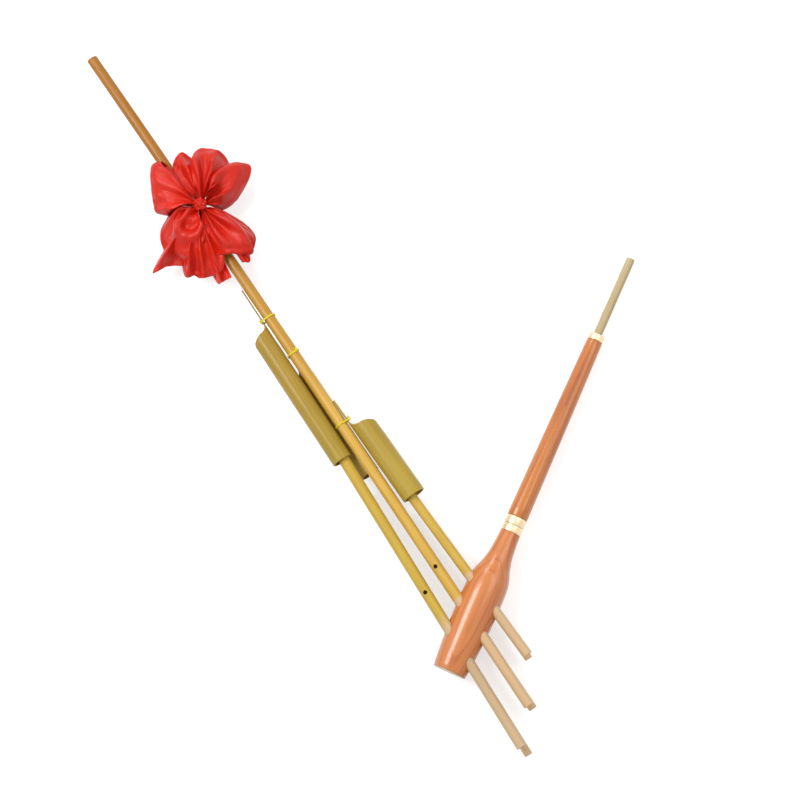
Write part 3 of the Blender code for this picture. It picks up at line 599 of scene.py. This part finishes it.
def buildMouthpiece():
    radius, bore, length = mouthpiece["radius"], mouthpiece["bore"], mouthpiece["length"]
    rings = mouthpiece["rings"]
    lip = (radius - bore) / 2
    profile = [(bore, 0), (radius, 0)]
    for k in range(1, rings):
        profile.append((radius - mouthpiece["waver"] * sin(k), length * k / rings))
    for step in range(mouthpiece["lipSteps"] + 1):
        bend = step * pi / mouthpiece["lipSteps"]
        profile.append((radius - lip + lip * cos(bend), length - lip + lip * sin(bend)))
    seat = blowPipe["start"] + blowPipeEnd - blowPipe["mouthDepth"] + blowPipe["gap"]
    local = axisMatrix(Vector(alongWind) * seat, alongWind, (0, 0, 1))
    tube = rawObject("mouthpiece", turned(profile, mouthpiece["sides"]))
    settle(tube, local, paints["bone"], "mouthpiece_body", "mouthpiece_tube")


# The resonators. far and near are the slanting cut's heights away from the long pipe and beside it,
# side the direction of the tongue, which is tied to the long pipe.
resonators = {
    "tail_resonator": dict(
        x=-0.0240, lean=0.0109, radius=0.0130, rim=0.2520, far=0.4355, near=0.4460, tip=0.5070,
        side=(1, 0, 0), paint="olive"),
    "neck_resonator": dict(
        x=0.0253, lean=-0.0160, radius=0.0150, rim=0.1655, far=0.2710, near=0.2810, tip=0.3225,
        side=(-1, 0, 0), paint="paleOlive"),
    "rear_resonator": dict(
        x=-0.0050, lean=0.0, radius=0.0130, rim=0.2220, far=0.3650, near=0.3750, tip=0.4230, side=None,
        paint="olive"),
}
resonatorShape = {
    "wall": 0.002, "septum": 0.003, "septumBelow": 0.015, "apart": 0.0017, "sides": 64, "rings": 24,
    "edge": 0.0005, "wander": 0.00015, "wanderLength": 16.0, "wanderSeed": 900, "clear": 0.004,
}
tongue = {"halfWidth": 0.0045, "shoulder": 0.006, "flare": 0.002, "tipThin": 0.0003, "tipSteps": 12}
quillCut = {
    "outer": -0.003, "skin": -0.0018, "inner": 0.0015, "hollowAt": -0.4, "hollow": 0.0055, "shoulder": -0.001,
    "round": 0.004, "rise": 0.008, "steps": 8,
}


def resonatorPlace(name):
    # how far forward a resonator's axis lies, and the way from it to its tongue
    spec = resonators[name]
    if spec["side"]:
        return shape["row"], Vector(spec["side"])
    sideways = pipeAxis("long_pipe_front", spec["near"]) - spec["x"]
    apart = pipes["long_pipe_front"]["high"] + spec["radius"] + resonatorShape["apart"]
    drop = sqrt(apart**2 - sideways**2)
    return shape["row"] - drop, Vector((sideways, 0, drop))


def buildResonator(name, spec):
    depth, side = resonatorPlace(name)
    outer, edge = spec["radius"], resonatorShape["edge"]
    inner = outer - resonatorShape["wall"]
    far, near, tip = spec["far"] - spec["rim"], spec["near"] - spec["rim"], spec["tip"] - spec["rim"]
    septum = far - resonatorShape["septumBelow"]
    septumLow = septum - resonatorShape["septum"]
    profile = [(0, septumLow), (inner, septumLow), (inner, edge), (inner + edge, 0), (outer - edge, 0)]
    for k in range(resonatorShape["rings"] + 1):
        z = edge + (tip - edge) * k / resonatorShape["rings"]
        spot = Vector((outer * resonatorShape["wanderSeed"], 3.0, z * resonatorShape["wanderLength"]))
        profile.append((outer + resonatorShape["wander"] * noise.noise(spot), z))
    profile += [(inner, tip), (inner, septum), (0, septum)]
    tube = rawObject(name + "Skin", turned(profile, resonatorShape["sides"]))
    clear = outer + resonatorShape["clear"]
    above = tip + clear
    # the slanting cut, which rises to the tongue in a hollow curve
    shoulder = inner - quillCut["round"]
    waste = [(-clear, far + quillCut["outer"]), (-outer, far + quillCut["skin"]),
             (-inner, far + quillCut["inner"]), (quillCut["hollowAt"] * inner, far + quillCut["hollow"]),
             (shoulder, near + quillCut["shoulder"])]
    for step in range(1, quillCut["steps"] + 1):
        bend = step * pi / 2 / quillCut["steps"]
        rise = quillCut["rise"] * (1 - cos(bend))
        waste.append((shoulder + quillCut["round"] * sin(bend), near + rise))
    waste += [(inner, above), (-clear, above)]
    carve(tube, prism(waste, -clear, clear, "Y"))
    # what goes beside the tongue, which ends round
    half, flare = tongue["halfWidth"], tongue["flare"]
    low, high = near - tongue["shoulder"] / 2, near + tongue["shoulder"]
    waste = [(-clear, low), (-inner, low), (-half - flare, (low + high) / 2), (-half, high)]
    for step in range(tongue["tipSteps"] + 1):
        bend = pi - step * pi / tongue["tipSteps"]
        waste.append((half * cos(bend), tip - half + (half - tongue["tipThin"]) * sin(bend)))
    waste += [(half, high), (half + flare, (low + high) / 2), (inner, low), (clear, low)]
    waste += [(clear, above), (-clear, above)]
    carve(tube, prism(waste, 0, clear, "X"))
    along = Vector((spec["lean"], 1, 0)).normalized()
    local = axisMatrix((spec["x"], spec["rim"], depth), along, side)
    settle(tube, local, paints[spec["paint"]], "frame", name, sharp=40)


# The strings, wound round the long pipe and one tongue each and knotted. start is the angle, in
# radians, at which a string begins.
ties = {
    "tie_upper": dict(height=0.4565, resonator="tail_resonator", start=2.6),
    "tie_middle": dict(height=0.4013, resonator="rear_resonator", start=1.1),
    "tie_lower": dict(height=0.2912, resonator="neck_resonator", start=0.5),
}
string = {"radius": 0.00055, "gap": 0.00025, "turns": 2, "pitch": 0.00125, "steps": 40, "arc": 64, "round": 4}
knotLoop = {
    "out": 0.0011, "depth": 0.0013, "height": 0.0018, "spread": 0.0012, "steps": 16, "turns": 2,
    "firstEnd": (0.0016, 0.0006, -0.0010), "lastEnd": (0.0014, 0.0008, 0.0014),
}


def hull(points):
    # the tight outline round a cloud of flat points
    points = sorted(points)
    chains = []
    for run in (points, points[::-1]):
        chain = []
        for p in run:
            while len(chain) > 1:
                (ax, ay), (bx, by) = chain[-2], chain[-1]
                if (bx - ax) * (p[1] - ay) - (by - ay) * (p[0] - ax) > 0:
                    break
                chain.pop()
            chain.append(p)
        chains += chain[:-1]
    return chains


def stringLoop(spec):
    # one tight turn round the long pipe and the tongue's two edges, from the string's start
    offset = string["radius"] + string["gap"]
    depth, side = resonatorPlace(spec["resonator"])
    tube = resonators[spec["resonator"]]
    toward = Vector((side.x, side.z)).normalized()
    aside = Vector((-toward.y, toward.x))
    middle = Vector((tube["x"] + tube["lean"] * (spec["height"] - tube["rim"]), depth))
    rods = [(pipeAxis("long_pipe_front", spec["height"]), shape["row"], pipes["long_pipe_front"]["high"])]
    outwards = toward * (tube["radius"] - resonatorShape["wall"])
    for sign in (-1, 1):
        spot = middle + outwards + aside * sign * tongue["halfWidth"]
        rods.append((spot.x, spot.y, 0.0))
    turns = [2 * pi * k / string["arc"] for k in range(string["arc"])]
    cloud = [(x + (r + offset) * cos(a), z + (r + offset) * sin(a)) for x, z, r in rods for a in turns]
    loop = hull(cloud)
    centre = (sum(p[0] for p in loop) / len(loop), sum(p[1] for p in loop) / len(loop))

    def fromStart(k):
        turn = atan2(loop[k][1] - centre[1], loop[k][0] - centre[0])
        return abs(remainder(turn - spec["start"], 2 * pi))

    first = min(range(len(loop)), key=fromStart)
    return loop[first:] + loop[:first + 1], centre


def knotRoute(place, centre):
    # a small overhand knot over the turns, with two short ends
    upward = Vector((0, 1, 0))
    outwards = Vector((place.x - centre[0], 0, place.z - centre[1])).normalized()
    tangent = outwards.cross(upward)
    steps = knotLoop["steps"]
    coil = []
    for k in range(knotLoop["turns"] * steps + 1):
        turn = 2 * pi * k / steps
        out = outwards * (knotLoop["out"] + knotLoop["depth"] * sin(turn))
        up = Vector((0, knotLoop["height"] * cos(turn), 0))
        coil.append(place + out + up + tangent * (knotLoop["spread"] * (k / steps - 1)))
    ends = []
    for spot, (up, out, along) in ((coil[0], knotLoop["firstEnd"]), (coil[-1], knotLoop["lastEnd"])):
        ends.append(spot + upward * up + outwards * out + tangent * along)
    return [ends[0]] + coil + [ends[1]]


def buildTie(name, spec):
    loop, centre = stringLoop(spec)
    walked = np.concatenate([[0.0], np.cumsum([dist(a, b) for a, b in zip(loop, loop[1:])])])
    points = []
    for k in range(string["turns"] * string["steps"] + 1):
        share = k / string["steps"]
        reach = (share % 1.0) * walked[-1]
        x = float(np.interp(reach, walked, [p[0] for p in loop]))
        z = float(np.interp(reach, walked, [p[1] for p in loop]))
        points.append(Vector((x, spec["height"] + string["pitch"] * (share - string["turns"] / 2), z)))
    knotPlace = Vector((points[0].x, spec["height"], points[0].z))
    for label, route in ((name + "Turns", points), (name + "Knot", knotRoute(knotPlace, centre))):
        curve = bpy.data.curves.new(label, "CURVE")
        curve.dimensions = "3D"
        curve.bevel_depth = string["radius"]
        curve.bevel_resolution = string["round"]
        curve.use_fill_caps = True
        spline = curve.splines.new("POLY")
        spline.points.add(len(route) - 1)
        for point, spot in zip(spline.points, route):
            point.co = (*(flat @ spot), 1.0)
        curve.materials.append(paints["string"])
        made = newObject(label, curve)
        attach(made, "frame")
        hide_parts(name)


# The bow: lobes of satin ribbon gathered at the knot, above and below it. Each edge is (degrees from
# +X, metres from the knot), against the clock. layers 2 is a loop that comes back to the knot, 1 a tail.
upperLobes = {
    "loopUpperLeft": dict(
        edge=[(97, 0.078), (103, 0.084), (112, 0.078), (122, 0.071), (132, 0.066), (144, 0.061), (153, 0.058),
              (159, 0.044)],
        layers=2, lift=0.010, rise=0.009, folds=1.3, cross=0.4, shift=2.6),
    "loopUpperBack": dict(
        edge=[(62, 0.056), (70, 0.070), (77, 0.078), (85, 0.073), (94, 0.063), (102, 0.048)],
        layers=2, lift=0.000, rise=0.004, folds=1.2, cross=0.3, shift=0.7),
    "loopUpperMiddle": dict(
        edge=[(10, 0.040), (20, 0.058), (30, 0.071), (40, 0.077), (50, 0.078), (60, 0.076), (68, 0.062),
              (74, 0.048)],
        layers=2, lift=0.007, rise=0.008, folds=2.6, cross=0.3, shift=1.3),
    "loopRight": dict(
        edge=[(-36, 0.026), (-20, 0.044), (-6, 0.060), (3, 0.075), (10, 0.083), (17, 0.079), (24, 0.069),
              (31, 0.052)],
        layers=2, lift=0.002, rise=0.008, folds=1.6, cross=0.5, shift=2.1),
}
lowerLobes = {
    "loopOuterLeft": dict(
        edge=[(138, 0.036), (150, 0.042), (162, 0.049), (174, 0.062), (188, 0.070), (200, 0.075),
              (213, 0.064)],
        layers=2, lift=0.000, rise=0.006, folds=1.0, cross=0.3, shift=0.4),
    "loopRound": dict(
        edge=[(170, 0.036), (181, 0.051), (190, 0.058), (203, 0.067), (215, 0.071), (226, 0.070),
              (237, 0.061), (246, 0.046)],
        layers=2, lift=0.009, rise=0.010, folds=1.2, cross=2.6, shift=1.9),
    "loopRosette": dict(
        edge=[(216, 0.076), (224, 0.092), (230, 0.088), (236, 0.093), (243, 0.090), (250, 0.091),
              (257, 0.084), (261, 0.070)],
        layers=2, lift=0.001, rise=0.006, folds=3.4, cross=1.6, shift=0.2),
    "loopLowerMiddle": dict(
        edge=[(242, 0.050), (254, 0.066), (263, 0.074), (270, 0.079), (277, 0.087), (284, 0.092),
              (290, 0.079), (296, 0.060), (301, 0.040)],
        layers=2, lift=0.008, rise=0.008, folds=2.2, cross=0.7, shift=0.9),
    "loopLowerRight": dict(
        edge=[(283, 0.087), (290, 0.085), (297, 0.078), (304, 0.060), (309, 0.040)],
        layers=2, lift=-0.001, rise=0.003, folds=1.2, cross=1.2, shift=2.7),
    "tailLeft": dict(
        edge=[(191, 0.064), (194, 0.082), (198, 0.103), (205, 0.087), (219, 0.077)],
        layers=1, lift=-0.002, rise=0.0, folds=1.2, cross=0.2, shift=0.2),
    "tailLow": dict(
        edge=[(246, 0.092), (249, 0.103), (254, 0.1005), (259.5, 0.1000)],
        layers=1, lift=-0.001, rise=0.0, folds=1.0, cross=0.2, shift=1.1),
    "tailRight": dict(
        edge=[(272, 0.091), (275, 0.096), (279, 0.094), (283, 0.080)],
        layers=1, lift=0.001, rise=0.0, folds=0.8, cross=0.2, shift=0.5),
}
bow = {
    "knot": (0.0076, 0.6245), "front": 0.0200, "across": 64, "along": 72, "cloth": 0.0003,
    "ribbonWidth": 0.070,
}
fold = {
    "depth": 0.0050, "sway": 0.9, "swayLength": 2.0, "second": 0.30, "third": 0.10, "atKnot": 0.25,
    "crossDepth": 0.0026, "crossSlant": 1.6, "mostCross": 2.0, "crown": 0.011, "crownEnd": 0.92,
    "droop": 0.016, "crumple": 0.0055, "fine": 0.45, "lowest": 0.0015, "lowestDroop": 0.012,
    "lowestGive": 0.3, "ceiling": 0.041, "ceilingSoft": 0.007, "broadCrumple": (2.4, 1.9, 1.4, 7),
    "fineCrumple": (5.0, 4.4, 2.0, 3),
}
gather = {
    "roundness": 0.8, "layerPower": 0.4, "narrow": 0.62, "opening": 1.6, "twist": 0.05, "under": 0.03,
    "root": 0.003,
}
band = {
    "height": 0.632, "sides": 48,
    "outline": [(0.0074, -0.0055), (0.0088, -0.0060), (0.0092, -0.0040), (0.0089, -0.0020), (0.0093, 0.0),
                (0.0089, 0.0022), (0.0092, 0.0042), (0.0087, 0.0060), (0.0074, 0.0055)],
}
bowKnot = {
    "radius": 0.0085, "flatten": 0.80, "raise": 0.0115, "pleats": (0.10, 5, 4),
    "lumps": ((0.22, 2.2), (0.10, 5.0)),
}


def lobeHeight(spec, out, layer, v, heading):
    # how high one spot of cloth stands over the row of pipes
    shift = spec["shift"]
    sideways = abs(cos(heading))
    phase = pi * spec["folds"] * v + shift + fold["sway"] * sin(fold["swayLength"] * out + shift)
    crease = cos(phase) + fold["second"] * cos(2 * phase) + fold["third"] * cos(3 * phase)
    cross = cos(2 * pi * spec["cross"] * out + fold["crossSlant"] * v + shift)
    out1, across1, layer1, shift1 = fold["broadCrumple"]
    out2, across2, layer2, shift2 = fold["fineCrumple"]
    wild = noise.noise(Vector((shift * shift1 + out1 * out, across1 * v, layer1 * layer)))
    wild += fold["fine"] * noise.noise(Vector((out2 * out, across2 * v + shift * shift2, layer2 * layer)))
    swell = sin(pi * min(out, fold["crownEnd"]))
    height = spec["lift"] + spec["rise"] * layer + fold["crown"] * swell
    height += fold["depth"] * crease * (fold["atKnot"] + (1 - fold["atKnot"]) * swell)
    height += fold["crossDepth"] * cross * swell * min(spec["cross"], fold["mostCross"])
    height += fold["crumple"] * wild * out - fold["droop"] * sideways * out**3
    height = bow["front"] + height
    lowest = bow["front"] - fold["lowest"] - fold["lowestDroop"] * sideways * out**2
    height = max(height, lowest + fold["lowestGive"] * (height - lowest) * (height < lowest))
    if height > fold["ceiling"]:
        over = (fold["ceiling"] - height) / fold["ceilingSoft"]
        height = fold["ceiling"] + fold["ceilingSoft"] * (1 - exp(over))
    return height


def buildLobe(name, spec, node):
    marks = [radians(angle) for angle, reach in spec["edge"]]
    reaches = [reach for angle, reach in spec["edge"]]
    edge = fairCurve(list(zip(marks, reaches)), bow["across"])
    middle = (marks[0] + marks[-1]) / 2
    root = gather["root"]
    bm = bmesh.new()
    rows = []
    for i in range(bow["along"] + 1):
        u = i / bow["along"]
        if spec["layers"] == 2:
            out = sin(pi * u) ** gather["roundness"]
            layer = sin(2 * pi * u) * sin(pi * u) ** gather["layerPower"]
        else:
            out, layer = u, 0.0
        squeeze = gather["narrow"] + (1 - gather["narrow"]) * min(1.0, out * gather["opening"])
        row = []
        for j, (reach, heading) in enumerate(edge):
            v = 2 * j / bow["across"] - 1
            turn = middle + (heading - middle) * squeeze + gather["twist"] * layer
            radius = root + (reach - root) * out * (1 - gather["under"] * (layer < 0))
            x, y = bow["knot"][0] + radius * cos(turn), bow["knot"][1] + radius * sin(turn)
            row.append(bm.verts.new((x, y, lobeHeight(spec, out, layer, v, heading))))
        rows.append(row)
    for below, above in zip(rows, rows[1:]):
        for j in range(bow["across"]):
            bm.faces.new((below[j], below[j + 1], above[j + 1], above[j]))
    lobe = rawObject(name, bm)
    thick = lobe.modifiers.new("cloth", "SOLIDIFY")
    thick.thickness = bow["cloth"]
    thick.offset = 0.0
    settle(lobe, flat, paints["satin"], "frame", node, sharp=180)


def buildBow():
    for node, lobes in (("ribbon_upper", upperLobes), ("ribbon_lower", lowerLobes)):
        for name, spec in lobes.items():
            buildLobe(name, spec, node)
    # the band that ties the bow to the pipe
    place = (pipeAxis("long_pipe_front", band["height"]), band["height"], shape["row"])
    wrap = rawObject("ribbonBand", turned(band["outline"], band["sides"]))
    local = axisMatrix(place, (0, 1, 0), (1, 0, 0))
    settle(wrap, local, paints["satin"], "frame", "ribbon_band", sharp=80)
    # the gathered knot
    depth, pleats, rise = bowKnot["pleats"]
    bm = bmesh.new()
    bmesh.ops.create_icosphere(bm, subdivisions=5, radius=bowKnot["radius"])
    for vert in bm.verts:
        direction = vert.co.normalized()
        turn = atan2(direction.y, direction.x)
        grow = 1 + depth * cos(pleats * turn + rise * direction.z)
        for amount, size in bowKnot["lumps"]:
            grow += amount * noise.noise(direction * size)
        vert.co *= grow
        vert.co.z *= bowKnot["flatten"]
    bmesh.ops.translate(bm, vec=(*bow["knot"], bow["front"] + bowKnot["raise"]), verts=bm.verts)
    settle(rawObject("ribbonKnot", bm), flat, paints["satin"], "frame", "ribbon_band", sharp=180)
    print("stage: bow")


def dressCadNodes():
    # the plug and the reeds keep the CAD's own meshes
    for name, node in frame["nodes"].items():
        if "reed" in name or name == "tail_plug":
            node.data.materials.clear()
            node.data.materials.append(paints["plug" if name == "tail_plug" else "reed"])


# Floor and light
studio = {
    "floorSize": 6.0, "floorWhite": 0.62, "world": {"To Min": 0.55, "To Max": 1.0},
    "floor": {"Base Color": (0.60, 0.60, 0.60, 1.0), "Roughness": 0.9, "Specular IOR Level": 0.1,
              "Emission Color": (1.0, 1.0, 1.0, 1.0)},
    "lamps": {
        "key": dict(place=(-0.9, 0.9, 1.9), size=0.9, power=26.0),
        "fill": dict(place=(1.3, -0.6, 1.8), size=1.4, power=12.0),
        "strip": dict(place=(0.4, 1.5, 1.4), size=0.7, power=9.0),
    },
}


def seenDirectly(tree, links):
    # 1 for what the camera, a gloss or a glass shows of the background, 0 for its light
    rays = tree.new("ShaderNodeLightPath")
    first = addNode(tree, "ShaderNodeMath", operation="MAXIMUM")
    links.new(rays.outputs["Is Camera Ray"], first.inputs[0])
    links.new(rays.outputs["Is Glossy Ray"], first.inputs[1])
    either = addNode(tree, "ShaderNodeMath", operation="MAXIMUM")
    links.new(first.outputs[0], either.inputs[0])
    links.new(rays.outputs["Is Transmission Ray"], either.inputs[1])
    return either.outputs[0]


def stageFloor():
    bm = bmesh.new()
    bmesh.ops.create_grid(bm, x_segments=1, y_segments=1, size=studio["floorSize"])
    floor = rawObject("floor", bm)
    made, tree, links, shader = newMaterial("paleFloor")
    setInputs(shader, studio["floor"])
    white = addNode(tree, "ShaderNodeMath", operation="MULTIPLY")
    white.inputs[1].default_value = studio["floorWhite"]
    links.new(seenDirectly(tree, links), white.inputs[0])
    links.new(white.outputs[0], shader.inputs["Emission Strength"])
    floor.data.materials.append(made)


def lights():
    world = bpy.data.worlds.new("world")
    bpy.context.scene.world = world
    world.use_nodes = True
    tree, links = world.node_tree.nodes, world.node_tree.links
    tree["Background"].inputs["Color"].default_value = (1.0, 1.0, 1.0, 1.0)
    strength = tree.new("ShaderNodeMapRange")
    setInputs(strength, studio["world"])
    links.new(seenDirectly(tree, links), strength.inputs["Value"])
    links.new(strength.outputs["Result"], tree["Background"].inputs["Strength"])
    for name, spec in studio["lamps"].items():
        data = bpy.data.lights.new(name, "AREA")
        data.size = spec["size"]
        data.energy = spec["power"]
        made = newObject(name, data)
        place = Vector(spec["place"])
        made.matrix_world = Matrix.Translation(place) @ place.to_track_quat("Z", "Y").to_matrix().to_4x4()


grain = grainGroup()
paints = {
    "lacquer": lacquerMaterial(
        "lacqueredWood", pale=(0.66, 0.21, 0.045), deep=(0.52, 0.12, 0.022), line=(0.62, 0.42, 0.30),
        scale=130.0),
    "blowLacquer": lacquerMaterial(
        "blowPipeLacquer", pale=(0.62, 0.195, 0.024), deep=(0.48, 0.115, 0.014), line=(0.50, 0.30, 0.22),
        scale=160.0),
    "ferrule": metalMaterial(
        "satinFerrule", pale=(0.92, 0.74, 0.48), deep=(0.76, 0.58, 0.36), roughness=0.38),
    "reed": metalMaterial("reedBrass", pale=(0.80, 0.60, 0.25), deep=(0.60, 0.42, 0.15), roughness=0.30),
    "bone": bambooMaterial(
        "paleTube", low=(0.52, 0.40, 0.22), high=(0.56, 0.45, 0.26), span=(0.0, 0.13),
        streak=(0.84, 0.80, 0.70)),
    "plug": bambooMaterial(
        "plugWood", low=(0.60, 0.50, 0.40), high=(0.60, 0.50, 0.40), span=(-0.1, 0.0),
        streak=(0.84, 0.80, 0.72)),
    "longBamboo": bambooMaterial(
        "longBamboo", low=(0.70, 0.44, 0.08), high=(0.38, 0.155, 0.012), span=(0.30, 0.62),
        streak=(0.80, 0.66, 0.45), scraped=(0.70, 0.46, 0.25), scrapedTop=0.0295, scrapedFade=0.003),
    "tailBamboo": bambooMaterial(
        "tailBamboo", low=(0.62, 0.43, 0.06), high=(0.60, 0.40, 0.05), span=(0.05, 0.25),
        streak=(0.80, 0.68, 0.45), scraped=(0.66, 0.46, 0.26), scrapedTop=0.026, scrapedFade=0.020),
    "bamboo": bambooMaterial(
        "bamboo", low=(0.66, 0.44, 0.08), high=(0.62, 0.42, 0.06), span=(0.05, 0.25),
        streak=(0.80, 0.68, 0.45), scraped=(0.70, 0.47, 0.26), scrapedTop=0.0295, scrapedFade=0.003),
    "olive": bambooMaterial(
        "oliveBamboo", low=(0.42, 0.29, 0.036), high=(0.40, 0.25, 0.032), span=(0.0, 0.18),
        streak=(0.78, 0.74, 0.55)),
    "paleOlive": bambooMaterial(
        "paleOliveBamboo", low=(0.48, 0.34, 0.046), high=(0.44, 0.30, 0.040), span=(0.0, 0.10),
        streak=(0.80, 0.76, 0.58)),
    "string": stringMaterial("yellowString", pale=(0.86, 0.74, 0.02), deep=(0.70, 0.56, 0.01)),
    "satin": satinMaterial("redSatin", pale=(0.64, 0.018, 0.005), deep=(0.47, 0.009, 0.003)),
}
placeCamera()
print("stage: camera and materials")
buildChamber()
buildBlowPipe()
buildMouthpiece()
for pipeName, pipeSpec in pipes.items():
    buildPipe(pipeName, pipeSpec)
for tubeName, tubeSpec in resonators.items():
    buildResonator(tubeName, tubeSpec)
for tieName, tieSpec in ties.items():
    buildTie(tieName, tieSpec)
print("stage: instrument")
buildBow()
dressCadNodes()
stageFloor()
lights()
bpy.context.scene.view_settings.view_transform = "Standard"
